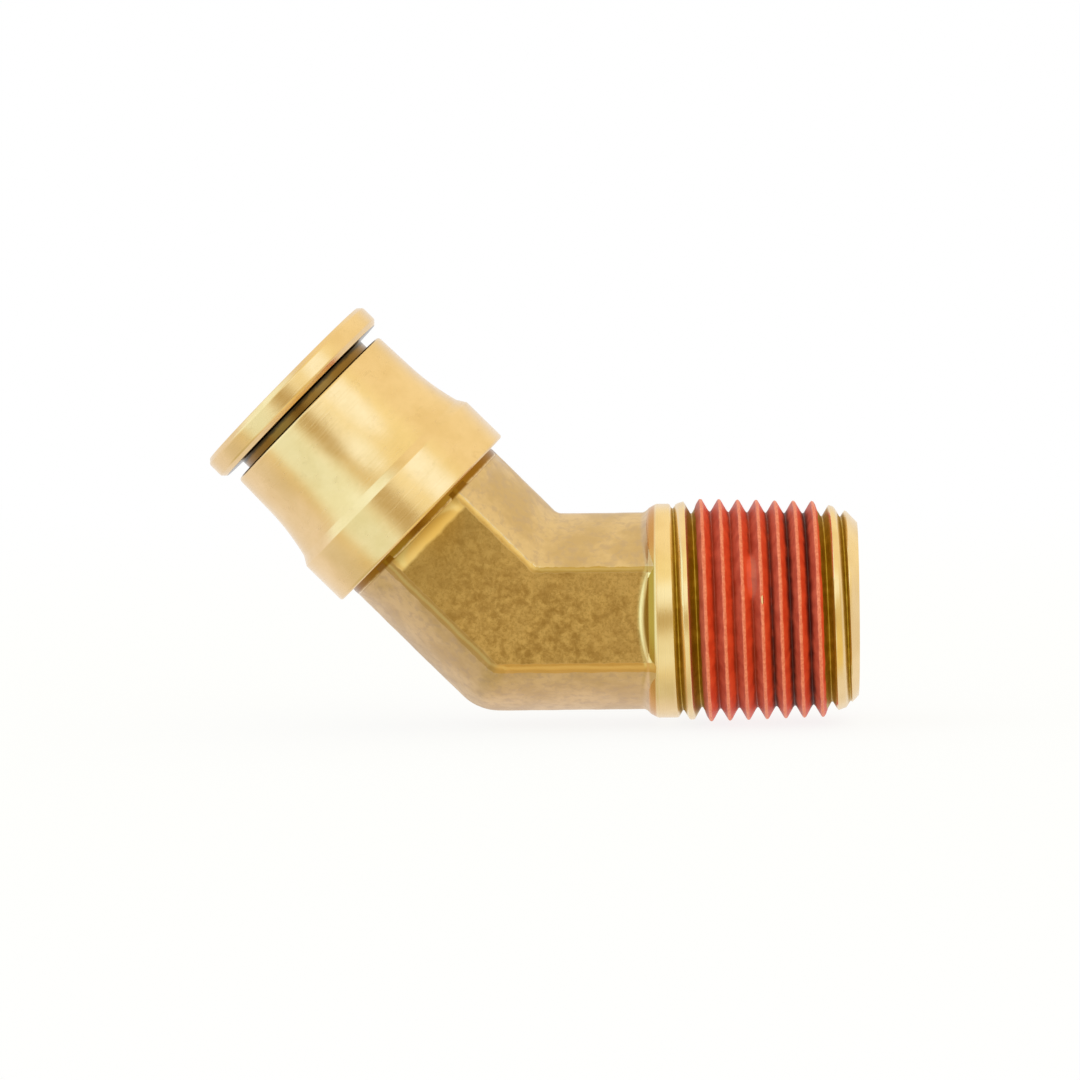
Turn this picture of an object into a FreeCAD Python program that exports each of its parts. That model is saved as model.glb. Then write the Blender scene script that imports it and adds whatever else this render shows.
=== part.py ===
"""45 degree male elbow, push-in 1/2 inch air-brake tube x 1/2-14 NPT, in millimetres.

The thread axis is +X and the bend lies in the XZ plane; the origin is the centre of the
threaded end's face. Lengths named X_... run from the crossing of the two leg axes along
the thread leg, lengths named S_... run from the same point along the push-in leg.
"""
import FreeCAD, Part
import math
import os

V = FreeCAD.Vector

# ---- layout -------------------------------------------------------------------------
LEG_X = 33.2             # crossing point to the threaded end's face
BEND = 45.0              # change of direction between the legs, degrees
BORE_END_X = -1.0        # full depth of the flow bore past the crossing point

# ---- forged limbs: two wrench flats with bulged slopes between them -------------------
AF = 17.46               # across the wrench flats (11/16 in)
FLAT_HALF_H = 4.9        # half height of a flat
FLAT_EDGE_R = 0.9        # rounding along the flats
SLOPE_H, SLOPE_Y = 7.97, 4.6     # middle of a slope
LIMB_HALF_H = 9.65       # half height over the ridges
RIDGE_H, RIDGE_R = 9.73, 3.0     # ridge before rounding, and its rounding
CORNER_R = 5.0           # outer corner of the bend, seen from the side
LIMB_X_END = 14.0        # limb ends hidden inside the turned bosses
LIMB_S_END = 12.9
LIMB_LEAD = 15.0         # length behind the crossing point, before the mitre

# ---- thread leg ----------------------------------------------------------------------
PITCH = 25.4 / 14.0
TAPER = 1.0 / 32.0       # growth of radius per length
PITCH_R0 = 9.632         # pitch radius at the small end
THREAD_HALF = 0.66       # pitch line to crest, and pitch line to root
GROOVE_TOP = 0.76        # pitch line to the open side of a groove
PIPE_R = 10.67           # crests are limited to the pipe's outside radius
GROOVE_PHASE = 8.90      # a groove passes the top of the leg this far behind the end
FULL_TURNS = 10
VANISH_RISES = (0.5, 1.0)        # growth of the root radius in the turns after those
BAND_R = 10.45           # plain turned band behind the thread
X_CONE, CONE_R = 11.2, 7.15
X_CONE_TOP, CONE_TOP_R = 12.9, 10.05
X_BAND = 13.65
X_THREAD = 15.6
X_FULL_OD = 16.3
NOSE_R, NOSE_X1, NOSE_R1, NOSE_X2 = 8.45, 1.05, 9.55, 3.4
FLOW_R = 5.6             # flow bore of the thread leg
CSK = 0.5                # mouth chamfers

# ---- thread sealant coat --------------------------------------------------------------
COAT_CREST = 0.12        # thickness over the crests
COAT_SHIFT = 0.20        # radial shift of the flanks
COAT_ROOT = 0.21         # thickness in the roots
COAT_X0, COAT_X1 = 3.1, 15.3   # distances behind the end face

# ---- push-in leg of the body ----------------------------------------------------------
BOSS_R = 9.62
S_CONE, CONE_FOOT_R = 9.0, 7.75
S_BOSS0 = 12.43
S_BOSS = 13.1            # shoulder that the collar housing is pressed against
SPIGOT_R = 9.25
S_SPIGOT = 17.9
GLAND_R = 8.5
S_GLAND = 13.6
TUBE_BORE_R = 6.5        # 12.7 mm tube
S_TUBE_STOP = 9.6
SEAT_R = 5.2
S_SEAT = 6.6
SUPPORT_BORE_R = 4.0

# ---- collar housing ---------------------------------------------------------------------
RING_R = 11.2
S_RING = 17.9
RIM_R = 10.65
S_RIM = 18.8
SLEEVE_R = 9.85
S_SLEEVE = 24.15
FRONT_R = 9.72
S_FRONT = 28.55
LIP_R = 8.42
S_LIP = 27.2
SLEEVE_BORE_R = 8.95
RING_BORE_R = SPIGOT_R
S_STEP = 19.5

# ---- parts inside the housing -------------------------------------------------------------
SPACER_FLANGE_R, SPACER_R = 9.2, 8.47
S_SPACER0, S_SPACER1 = 16.2, 18.3
GRAB_T = 0.4
GRAB_RIM_R, GRAB_FOLD_R, GRAB_TIP_R = 9.2, 8.5, 6.2
GRAB_DROP = 1.2          # the teeth lean this far towards the elbow
GRAB_TEETH = 16
BUSH_FLANGE_R, BUSH_R, BUSH_BORE_R = 9.2, 8.9, 8.05
S_BUSH1 = 24.0
SEAL_R, SEAL_CORD_R = 7.325, 1.17
S_SEAL = 14.9
SUPPORT_R = 4.65
S_SUPPORT = 29.0

# ---- release collar -------------------------------------------------------------------------
FLANGE_R = 10.7
S_FLANGE0, S_FLANGE1 = 29.6, 32.0
NECK_R = 8.2
SHOULDER_R = 8.8
S_SHOULDER0, S_SHOULDER1 = 25.2, 26.9
SHANK_R = 7.9
NOSE_TIP_R = 6.9
S_NOSE0, S_NOSE1 = 18.4, 19.8

CROSSING = V(-LEG_X, 0, 0)
TUBE_ANGLE = 180.0 - BEND                     # push-in leg, turned up from +X
TUBE_PLACE = FreeCAD.Placement(CROSSING, FreeCAD.Rotation(V(0, 1, 0), 90.0 - TUBE_ANGLE))
THREAD_PLACE = FreeCAD.Placement(CROSSING, FreeCAD.Rotation(V(0, 1, 0), 90.0))


def loop(points):
    """Closed wire in the local XZ plane through (along, radius) points.

    A point given as (along, radius, through_along, through_radius) is reached by an arc.
    """
    edges = []
    last = points[-1]
    here = V(last[1], 0, last[0])
    for point in points:
        there = V(point[1], 0, point[0])
        if len(point) == 4:
            edges.append(Part.Arc(here, V(point[3], 0, point[2]), there).toShape())
        else:
            edges.append(Part.makeLine(here, there))
        here = there
    return Part.Wire(edges)


def turned(points):
    """Solid of revolution about local Z."""
    return Part.Face(loop(points)).revolve(V(0, 0, 0), V(0, 0, 1), 360)


def disc(radius, start, end):
    return Part.makeCylinder(radius, end - start, V(0, 0, start))


def placed(shape, placement):
    copy = shape.copy()
    copy.Placement = placement.multiply(copy.Placement)
    return copy


def limb(length):
    """Straight limb along local Z, from behind the crossing point to the given length."""
    half = AF / 2.0
    flats = [Part.makeLine(V(-FLAT_HALF_H, half, 0), V(FLAT_HALF_H, half, 0)),
             Part.makeLine(V(FLAT_HALF_H, -half, 0), V(-FLAT_HALF_H, -half, 0))]
    slopes = []
    for up in (1, -1):
        ridge = V(up * RIDGE_H, 0, 0)
        for side in (1, -1):
            edge = V(up * FLAT_HALF_H, side * half, 0)
            middle = V(up * SLOPE_H, side * SLOPE_Y, 0)
            slopes.append(Part.Arc(edge, middle, ridge).toShape())
    outline = Part.Wire(Part.sortEdges(flats + slopes)[0])
    bar = Part.Face(outline).extrude(V(0, 0, length + LIMB_LEAD))
    along = [e for e in bar.Edges if abs(e.BoundBox.ZLength - length - LIMB_LEAD) < 0.01]
    ridges = [e for e in along if abs(e.CenterOfMass.y) < 0.1]
    rims = [e for e in along if abs(e.CenterOfMass.y) > 0.1]
    bar = bar.makeFillet(RIDGE_R, ridges)
    rims = [e for e in bar.Edges if any(same_place(e, rim) for rim in rims)]
    bar = bar.makeFillet(FLAT_EDGE_R, rims)
    bar.translate(V(0, 0, -LIMB_LEAD))
    return bar


def same_place(edge, other):
    return (edge.CenterOfMass - other.CenterOfMass).Length < 0.01


def side_block(angle):
    """Big block on the side of the crossing point that the angle points to."""
    size = 80.0
    block = Part.makeBox(size, size, size, V(0, -size / 2.0, -size / 2.0))
    turn = FreeCAD.Rotation(V(0, 1, 0), -angle)
    return placed(block, FreeCAD.Placement(CROSSING, turn))


def polar(origin, radius, angle):
    """Point in the bend plane."""
    angle = math.radians(angle)
    return origin + V(radius * math.cos(angle), 0, radius * math.sin(angle))


def outer_corner():
    """Material outside the rounded outer corner of the bend."""
    out = TUBE_ANGLE / 2.0 + 180.0
    reach = (LIMB_HALF_H - CORNER_R) / math.cos(math.radians(BEND / 2.0))
    centre = polar(CROSSING, reach, out)
    far = 3.0 * CORNER_R
    rays = [polar(centre, far, out - BEND / 2.0), polar(centre, far, out + BEND / 2.0)]
    wedge = Part.Face(Part.makePolygon([centre, rays[0], rays[1], centre]))
    wedge.translate(V(0, -AF, 0))
    wedge = wedge.extrude(V(0, 2 * AF, 0))
    keep = Part.makeCylinder(CORNER_R, 3 * AF, centre - V(0, 1.5 * AF, 0), V(0, 1, 0))
    return wedge.cut(keep)


def forged_limbs():
    """The two limbs mitred at the crossing point, the outer corner rounded."""
    thread_limb = placed(limb(LIMB_X_END), THREAD_PLACE)
    tube_limb = placed(limb(LIMB_S_END), TUBE_PLACE)
    mitre = TUBE_ANGLE / 2.0 - 90.0
    thread_limb = thread_limb.common(side_block(mitre))
    tube_limb = tube_limb.common(side_block(mitre + 180.0))
    return thread_limb.fuse(tube_limb).cut(outer_corner())


def crest_r(behind):
    """Crest radius at a distance behind the end face."""
    return min(PITCH_R0 + THREAD_HALF + behind * TAPER, PIPE_R)


def thread_blank():
    """Turned shank of the thread leg, from the cone to the end face."""
    knee = (PIPE_R - PITCH_R0 - THREAD_HALF) / TAPER
    return turned([
        (X_CONE, 0), (X_CONE, CONE_R), (X_CONE_TOP, CONE_TOP_R), (X_BAND, BAND_R),
        (X_THREAD, BAND_R), (X_FULL_OD, PIPE_R), (LEG_X - knee, PIPE_R),
        (LEG_X - NOSE_X2, crest_r(NOSE_X2)), (LEG_X - NOSE_X1, NOSE_R1),
        (LEG_X, NOSE_R), (LEG_X, 0)])


def groove(start, turns, radius, angle, root, root_half, top):
    """Swept thread groove; start is measured behind the end face, radius is the pitch line."""
    flank = math.tan(math.radians(30))
    helix = Part.makeLongHelix(PITCH, turns * PITCH, radius, angle)
    top_half = root_half + (top - root) * flank
    corners = [(root, root_half), (root, -root_half), (top, -top_half), (top, top_half)]
    points = [V(radius + r, 0, z) for r, z in corners]
    profile = Part.makePolygon(points + [points[0]])
    solid = Part.Wire(helix.Edges).makePipeShell([profile], True, True)
    # local Z runs back from the end face and local X points up
    flip = FreeCAD.Matrix(0, 0, -1, -start, 0, 1, 0, 0, 1, 0, 0, 0, 0, 0, 0, 1)
    solid.transformShape(flip)
    return solid


def groove_start():
    """Start of the main groove behind the end face, ahead of the part and at the top."""
    return GROOVE_PHASE - (math.ceil(GROOVE_PHASE / PITCH) + 1) * PITCH


def main_groove(root, root_half, top):
    start = groove_start()
    angle = math.degrees(math.atan(TAPER))
    radius = PITCH_R0 + start * TAPER
    return groove(start, FULL_TURNS + 0.03, radius, angle, root, root_half, top)


def vanish_grooves(root, root_half, top):
    """Last turns, each rising further out of the shank until the plain band is clear."""
    start = groove_start() + FULL_TURNS * PITCH
    radius = PITCH_R0 + start * TAPER
    turns = []
    for rise in VANISH_RISES:
        angle = math.degrees(math.atan(rise / PITCH))
        turns.append(groove(start, 1.0, radius, angle, root, root_half, top))
        start += PITCH
        radius += rise
    return turns


def tube_boss():
    """Turned end of the push-in leg: cone, shoulder and spigot."""
    return turned([
        (S_CONE, 0), (S_CONE, CONE_FOOT_R), (S_BOSS0, BOSS_R), (S_BOSS, BOSS_R),
        (S_BOSS, SPIGOT_R),
        (S_SPIGOT - 0.1, SPIGOT_R), (S_SPIGOT, SPIGOT_R - 0.1), (S_SPIGOT, 0)])


def body_bores():
    point = FLOW_R / math.tan(math.radians(59))
    flow = turned([
        (BORE_END_X - point, 0), (BORE_END_X, FLOW_R), (LEG_X - CSK, FLOW_R),
        (LEG_X + CSK, FLOW_R + 2 * CSK), (LEG_X + CSK, 0)])
    stepped = turned([
        (-1.0, 0), (-1.0, SUPPORT_BORE_R), (S_SEAT, SUPPORT_BORE_R), (S_SEAT, SEAT_R),
        (S_TUBE_STOP, SEAT_R), (S_TUBE_STOP, TUBE_BORE_R), (S_GLAND, TUBE_BORE_R),
        (S_GLAND, GLAND_R), (S_SPIGOT + 1.0, GLAND_R), (S_SPIGOT + 1.0, 0)])
    return placed(flow, THREAD_PLACE).fuse(placed(stepped, TUBE_PLACE))


def elbow_body():
    body = forged_limbs().fuse(placed(tube_boss(), TUBE_PLACE))
    body = body.fuse(placed(thread_blank(), THREAD_PLACE)).cut(body_bores())
    root_half = PITCH / 4.0 - THREAD_HALF * math.tan(math.radians(30))
    body = body.cut(main_groove(-THREAD_HALF, root_half, GROOVE_TOP))
    for turn in vanish_grooves(-THREAD_HALF, root_half, GROOVE_TOP):
        body = body.cut(turn)
    return body


def thread_sealant(body):
    crest = THREAD_HALF + COAT_CREST
    root = COAT_ROOT - THREAD_HALF
    root_half = PITCH / 4.0 + (root - COAT_SHIFT) * math.tan(math.radians(30))
    r0 = PITCH_R0 + crest
    coat = turned([
        (LEG_X - COAT_X1, 6.0), (LEG_X - COAT_X1, r0 + COAT_X1 * TAPER),
        (LEG_X - COAT_X0, r0 + COAT_X0 * TAPER), (LEG_X - COAT_X0, 6.0)])
    coat = placed(coat, THREAD_PLACE).cut(main_groove(root, root_half, crest + 0.08))
    return coat.cut(body)


def collar_housing():
    cove_s = (S_RIM + S_SLEEVE) / 2.0 - 0.4
    cove_r = SLEEVE_R + 0.27
    return turned([
        (S_BOSS, RING_BORE_R), (S_BOSS, RING_R - 0.3), (S_BOSS + 0.3, RING_R),
        (S_RING, RING_R), (S_RIM, RIM_R), (S_SLEEVE, SLEEVE_R, cove_s, cove_r),
        (S_FRONT - 0.4, FRONT_R), (S_FRONT, FRONT_R - 0.4), (S_FRONT, LIP_R),
        (S_LIP, LIP_R), (S_LIP, SLEEVE_BORE_R), (S_STEP + 0.65, SLEEVE_BORE_R),
        (S_STEP, RING_BORE_R)])


def release_collar():
    rim = 0.45
    return turned([
        (S_NOSE0, TUBE_BORE_R), (S_NOSE0, NOSE_TIP_R), (S_NOSE1, SHANK_R),
        (S_SHOULDER0, SHANK_R), (S_SHOULDER0, SHOULDER_R), (S_SHOULDER1, SHOULDER_R),
        (S_SHOULDER1, NECK_R), (S_FLANGE0, NECK_R), (S_FLANGE0, FLANGE_R - rim),
        (S_FLANGE0 + rim, FLANGE_R), (S_FLANGE1 - rim, FLANGE_R),
        (S_FLANGE1, FLANGE_R - rim), (S_FLANGE1, TUBE_BORE_R + 1.0),
        (S_FLANGE1 - 1.0, TUBE_BORE_R)])


def guide_bush():
    start = S_SPACER1 + GRAB_T
    return turned([
        (start, BUSH_BORE_R), (start, BUSH_FLANGE_R), (S_STEP - 0.1, BUSH_FLANGE_R),
        (S_STEP + 0.5, BUSH_R), (S_BUSH1, BUSH_R), (S_BUSH1, BUSH_BORE_R)])


def grab_ring():
    """Flat rim and a cone of teeth that lean inwards, parted by radial slots."""
    s0 = S_SPACER1
    s1 = s0 + GRAB_T
    lean = math.atan2(GRAB_DROP, GRAB_FOLD_R - GRAB_TIP_R)
    tip_s = s0 - GRAB_DROP
    thick_s = GRAB_T * math.cos(lean)
    thick_r = GRAB_T * math.sin(lean)
    ring = turned([
        (s0, GRAB_FOLD_R), (s0, GRAB_RIM_R), (s1, GRAB_RIM_R), (s1, GRAB_FOLD_R - thick_r),
        (tip_s + thick_s, GRAB_TIP_R - thick_r * 0.5), (tip_s, GRAB_TIP_R)])
    slot = Part.makeBox(GRAB_FOLD_R - 0.3, 0.7, 4.0, V(0, -0.35, s0 - 3.0))
    for i in range(GRAB_TEETH):
        cut = slot.copy()
        cut.rotate(V(0, 0, 0), V(0, 0, 1), 360.0 * (i + 0.5) / GRAB_TEETH)
        ring = ring.cut(cut)
    return ring


def seal_spacer():
    inner = TUBE_BORE_R + 0.1
    return turned([
        (S_SPACER0, inner), (S_SPACER0, SPACER_R), (S_SPIGOT, SPACER_R),
        (S_SPIGOT, SPACER_FLANGE_R), (S_SPACER1, SPACER_FLANGE_R),
        (S_SPACER1, GRAB_FOLD_R + 0.1), (S_SPACER0 + 0.5, inner)])


def tube_seal():
    return Part.makeTorus(SEAL_R, SEAL_CORD_R, V(0, 0, S_SEAL), V(0, 0, 1))


def tube_support():
    tip = 0.35
    return turned([
        (S_SEAT, SUPPORT_BORE_R), (S_SEAT, SEAT_R), (S_TUBE_STOP, SEAT_R),
        (S_TUBE_STOP, SUPPORT_R), (S_SUPPORT - 1.2, SUPPORT_R),
        (S_SUPPORT, SUPPORT_R - tip), (S_SUPPORT, SUPPORT_BORE_R)])


def save(name, shape):
    shape.exportStep(os.path.join("parts", name + ".step"))
    box = shape.BoundBox
    print(name, shape.isValid(), len(shape.Solids), round(shape.Volume, 1),
          [round(v, 2) for v in (box.XMin, box.XMax, box.YMin, box.YMax, box.ZMin, box.ZMax)])


os.makedirs("parts", exist_ok=True)
body_shape = elbow_body()
save("elbow_body", body_shape)
save("thread_sealant", thread_sealant(body_shape))
for piece in (collar_housing, release_collar, guide_bush, grab_ring, seal_spacer,
              tube_seal, tube_support):
    save(piece.__name__, placed(piece(), TUBE_PLACE))
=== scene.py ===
"""Looks of the push-in 45 degree male elbow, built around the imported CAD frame.

Lengths are in millimetres until a mesh is made. The thread leg runs along +X from the
crossing point of the two legs to the row's origin at its open end, and the push-in leg runs
from the crossing along TUBE_AXIS. "Along a leg" is the length from the crossing. In the
thread section x is the row's own coordinate, which is that length less LEG_X.
"""
import math

import bmesh
import bpy
import numpy as np
from mathutils import Matrix, Vector, noise


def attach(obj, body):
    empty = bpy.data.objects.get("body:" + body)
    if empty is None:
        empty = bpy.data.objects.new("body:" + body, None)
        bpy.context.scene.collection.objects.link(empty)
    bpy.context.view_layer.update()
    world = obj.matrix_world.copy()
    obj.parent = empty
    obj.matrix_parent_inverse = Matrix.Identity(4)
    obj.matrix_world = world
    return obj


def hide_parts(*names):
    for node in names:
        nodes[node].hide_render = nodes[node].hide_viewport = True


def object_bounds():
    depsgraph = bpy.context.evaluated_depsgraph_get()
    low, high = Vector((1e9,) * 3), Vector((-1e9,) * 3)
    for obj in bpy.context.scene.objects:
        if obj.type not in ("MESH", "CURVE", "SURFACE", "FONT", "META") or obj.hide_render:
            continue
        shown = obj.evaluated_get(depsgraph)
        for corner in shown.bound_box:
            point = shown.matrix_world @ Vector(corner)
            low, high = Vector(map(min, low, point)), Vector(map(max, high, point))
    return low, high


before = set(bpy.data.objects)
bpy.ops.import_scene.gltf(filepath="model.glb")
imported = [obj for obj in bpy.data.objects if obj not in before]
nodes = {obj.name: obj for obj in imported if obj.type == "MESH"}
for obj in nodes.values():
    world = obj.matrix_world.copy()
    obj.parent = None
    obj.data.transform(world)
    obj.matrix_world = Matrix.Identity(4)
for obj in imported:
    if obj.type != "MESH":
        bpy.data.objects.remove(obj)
cad_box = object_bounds()

MM = 0.001
TAU = 2.0 * math.pi

# ---- layout of the part, as in the CAD -------------------------------------------------
LEG_X = 33.2                              # thread leg, crossing to open end
CROSSING = np.array((-LEG_X, 0.0, 0.0))
THREAD_AXIS = np.array((1.0, 0.0, 0.0))
TUBE_AXIS = np.array((-math.sqrt(0.5), 0.0, math.sqrt(0.5)))
TUBE_SIDE = np.array((math.sqrt(0.5), 0.0, math.sqrt(0.5)))
UP = np.array((0.0, 0.0, 1.0))
BEND = math.radians(45.0)

# ---- sizes of the forged limbs ---------------------------------------------------------
HALF_AF = 8.73                            # half the width across the wrench flats
FLAT_HALF_H = 4.9                         # half the height of a flat
FLAT_EDGE_R = 0.9                         # rounding between a flat and a slope
SLOPE_MIDDLE = (4.6, 7.97)                # (y, h) that the bulged slope goes through
RIDGE_H, RIDGE_R = 9.73, 3.0              # the ridge's height before rounding, and its rounding
LIMB_HALF_H = 9.65
CORNER_R, INNER_R = 5.0, 1.1              # outer and inner corner of the bend
THREAD_LIMB_END, TUBE_LIMB_END = 14.0, 12.9
# turned shoulders that the forged skin runs up to: lengths along the leg, then radii
THREAD_SHOULDER = ((7.0, 11.2, 12.9, 13.65, 14.0), (5.0, 7.15, 10.05, 10.45, 10.45))
TUBE_SHOULDER = ((5.0, 9.0, 12.43, 12.9), (5.57, 7.75, 9.62, 9.62))
THREAD_FILLET, TUBE_FILLET = 0.8, 1.3
SKIN_DEPTH = 0.03                         # the fillet starts this far under the shoulder
SHOULDER_RIM = 0.06                       # and stays this far inside its largest radius
# rings of the limb's mesh: from, to, how many; 0 to 1 is the thread limb, 1 to 2 the bend
LIMB_RUNS = ((0.0, 0.22, 34), (0.22, 1.0, 44), (1.0, 2.0, 18), (2.0, 2.68, 34), (2.68, 3.0, 36))
EDGE_WAVE, EDGE_WAVE_SIZE, EDGE_WAVE_REACH = 0.12, 1.9, 0.8
FORGED_SKIN = ((6.0, 0.030, 1.0), (2.2, 0.022, 5.0), (0.8, 0.010, 9.0))
# bores as (along, radius)
FLOW_R = 5.6
MOUTH_R = 6.2                             # counterbore and bevel of the threaded end
DRILL_POINT = FLOW_R / math.tan(math.radians(59.0))
FLOW_BORE = ((-1.0 - DRILL_POINT, 0.0), (-1.0, FLOW_R), (11.0, FLOW_R), (11.0, MOUTH_R),
             (15.0, MOUTH_R), (15.0, 0.0))
TUBE_BORE = ((-1.0, 0.0), (-1.0, 4.0), (6.6, 4.0), (6.6, 5.2), (9.6, 5.2), (9.6, 7.0),
             (14.0, 7.0), (14.0, 0.0))

# ---- sizes of the thread leg -----------------------------------------------------------
PITCH = 25.4 / 14.0
TAPER = 1.0 / 32.0                        # of the radius
PITCH_R0 = 9.632                          # pitch radius at the open end
THREAD_HALF = 0.66                        # half the thread's depth
PIPE_R = 10.67
GROOVE_PHASE = 8.90                       # places the groove along the leg
# the groove runs out behind the thread: lengths from the open end, and how far it has risen
VANISH_PLACES = (16.157, 17.971, 19.785)
VANISH_RISES = (0.0, 0.443, 1.386)
ROWS_PER_PITCH = 28
SQRT3 = math.sqrt(3.0)                    # slope of a 60 degree flank
THREAD_START = 13.75                      # where the helical grid takes over
BAND_R = 10.45                            # plain band between the limb and the thread
BAND_RAMP = (15.6, 16.3)                  # the blank rises from the band to the pipe radius
NOSE_X, NOSE_R = (-3.4, -1.05, 0.0), (10.40, 9.55, 8.45)
CREST_BLEND, GROOVE_BLEND = 0.03, 0.10
# plain rings of the shank before and after the thread, as (along, radius)
SHANK_COLLAR = ((11.0, FLOW_R), (11.0, 7.6), (11.2, 7.9), (11.7, 8.37), (12.42, 9.12),
                (12.50, 9.25), (12.84, 9.97), (12.92, 10.06), (13.0, 10.11),
                (13.55, 10.41), (13.65, BAND_R))
SHANK_MOUTH = ((LEG_X, 8.35), (LEG_X, MOUTH_R), (LEG_X, 6.1), (33.15, 6.04), (32.75, 5.65),
               (32.68, FLOW_R), (32.5, FLOW_R), (11.3, FLOW_R))

# ---- sizes of the sealant coat ---------------------------------------------------------
COAT_START, COAT_END = 17.82 - LEG_X, 29.68 - LEG_X
COAT_GRID = 16.6 - LEG_X, 31.3 - LEG_X    # its mesh goes on under the metal to here
COAT_CREST, COAT_SHIFT, COAT_ROOT = 0.12, 0.19, 0.21
COAT_MAX_R = 10.87
COAT_OVER = 0.025                         # least height above the metal
COAT_UNDER = 0.12                         # depth below the metal where there is no coat
COAT_LUMPS = ((1.3, 0.030, 2.0), (0.45, 0.016, 7.0))
# filled grooves, high on the front and low on the back: along, turn, size in turns
FILLED = ((22.82, 0.186, 0.030), (25.9, 0.640, 0.035))
FILLED_LENGTH, FILLED_HEIGHT = 0.75, 0.18
CHIP = (23.86 - LEG_X, 0.224, 0.12, 0.006)  # bare spot: x, turn, size, size in turns

# ---- sizes of the turned parts on the push-in leg --------------------------------------
# corners as (along, radius, rounding)
BOSS = ((9.6, 6.5, 0), (9.6, 8.08, 0), (12.43, 9.62, 0.3), (13.1, 9.62, 0), (13.1, 9.25, 0),
        (17.9, 9.25, 0.1), (17.9, 8.5, 0.1), (13.6, 8.5, 0), (13.6, 6.5, 0.12))
HOUSING_RING = ((13.1, 9.25, 0), (13.1, 11.2, 0.28), (17.9, 11.2, 0.16), (18.8, 10.65, 0.20))
COVE_FROM, COVE_TO = (18.8, 10.65), (24.15, 9.85)
COVE_BOW, COVE_STEPS = 0.155, 12
HOUSING_SLEEVE = ((24.15, 9.85, 0.0), (28.55, 9.72, 0.34), (28.55, 8.42, 0.12),
                  (27.2, 8.42, 0), (27.2, 8.95, 0), (20.15, 8.95, 0), (19.5, 9.25, 0))
COLLAR = ((18.4, 6.5, 0), (18.4, 6.9, 0.1), (19.8, 7.9, 0.3), (25.2, 7.9, 0),
          (25.2, 8.8, 0.12), (26.9, 8.8, 0.12), (26.9, 8.2, 0), (29.6, 8.2, 0.25),
          (29.6, 10.25, 0.15), (30.05, 10.7, 0.30), (31.55, 10.7, 0.30),
          (32.0, 10.25, 0.20), (32.0, 7.5, 0.15), (31.0, 6.5, 0.4))

# ---- mesh settings ---------------------------------------------------------------------
MERGE = 2e-7                              # metres
SHARP, SOFT_SHARP = 38.0, 60.0            # degrees; the softer one is for uneven surfaces
TURNED_COLUMNS, BORE_COLUMNS, SHANK_COLUMNS, COAT_COLUMNS = 224, 96, 208, 216


# ---- mesh helpers ----------------------------------------------------------------------
def add_piece(name, points, faces, sharp=SHARP):
    """Mesh object from points in millimetres in the row frame, normals outwards."""
    mesh = bpy.data.meshes.new(name)
    mesh.from_pydata([tuple(p) for p in np.asarray(points) * MM], [], faces)
    bm = bmesh.new()
    bm.from_mesh(mesh)
    bmesh.ops.remove_doubles(bm, verts=bm.verts, dist=MERGE)
    bmesh.ops.dissolve_degenerate(bm, edges=bm.edges, dist=MERGE)
    bmesh.ops.recalc_face_normals(bm, faces=bm.faces)
    bm.to_mesh(mesh)
    bm.free()
    obj = bpy.data.objects.new(name, mesh)
    bpy.context.scene.collection.objects.link(obj)
    shade(obj, sharp)
    return obj


def shade(obj, sharp):
    """Smooth shading, with edges past the given angle in degrees kept sharp."""
    mesh = obj.data
    mesh.polygons.foreach_set("use_smooth", [True] * len(mesh.polygons))
    mesh.set_sharp_from_angle(angle=math.radians(sharp))
    mesh.update()


def ring_faces(rings, columns, closed=True):
    """Quads between consecutive rings of the given number of columns."""
    faces = []
    last = rings if closed else rings - 1
    for i in range(last):
        faces += ring_band(i, (i + 1) % rings, columns)
    return faces


def ring_band(ring, other, columns):
    """Quads between two rings."""
    a = ring * columns
    b = other * columns
    return [(a + k, a + (k + 1) % columns, b + (k + 1) % columns, b + k)
            for k in range(columns)]


def thread_faces(before, rows, after, columns):
    """Closed body of plain rings, a helical grid and plain rings.

    At the top a row of the grid joins the row that lies one pitch further on.
    """
    total = before + rows + after
    last = before + rows - 1
    faces = []
    for i in range(total):
        if not before <= i < last:
            faces += ring_band(i, (i + 1) % total, columns)
            continue
        a = i * columns
        for k in range(columns - 1):
            faces.append((a + k, a + k + 1, a + columns + k + 1, a + columns + k))
        end = a + columns - 1
        b = min(i + ROWS_PER_PITCH, last) * columns
        c = min(i + 1 + ROWS_PER_PITCH, last) * columns
        faces.append((end, b, c, end + columns) if b != c else (end, b, end + columns))
    return faces


def rounded(profile, steps=6, support=0.06):
    """Closed profile of (along, radius, rounding) corners as points.

    Roundings become arcs, and every straight run gets a point close to each end, so that
    smooth shading stays flat on it.
    """
    count = len(profile)
    runs = []
    for i, (s, r, size) in enumerate(profile):
        here = Vector((s, r))
        if size == 0:
            runs.append([here])
            continue
        a = (Vector(profile[i - 1][:2]) - here).normalized()
        b = (Vector(profile[(i + 1) % count][:2]) - here).normalized()
        half = a.angle(b) / 2.0
        centre = here + (a + b).normalized() * (size / math.sin(half))
        start = here + a * (size / math.tan(half)) - centre
        end = here + b * (size / math.tan(half)) - centre
        first = math.atan2(start.y, start.x)
        sweep = math.remainder(math.atan2(end.y, end.x) - first, TAU)
        arc = []
        for k in range(steps + 1):
            angle = first + sweep * k / steps
            arc.append(centre + Vector((math.cos(angle), math.sin(angle))) * size)
        runs.append(arc)
    points = []
    for i, run in enumerate(runs):
        points.extend(run)
        gap = runs[(i + 1) % count][0] - run[-1]
        if gap.length > 3.0 * support:
            step = gap.normalized() * support
            points.append(run[-1] + step)
            points.append(run[-1] + gap - step)
    return points


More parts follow.
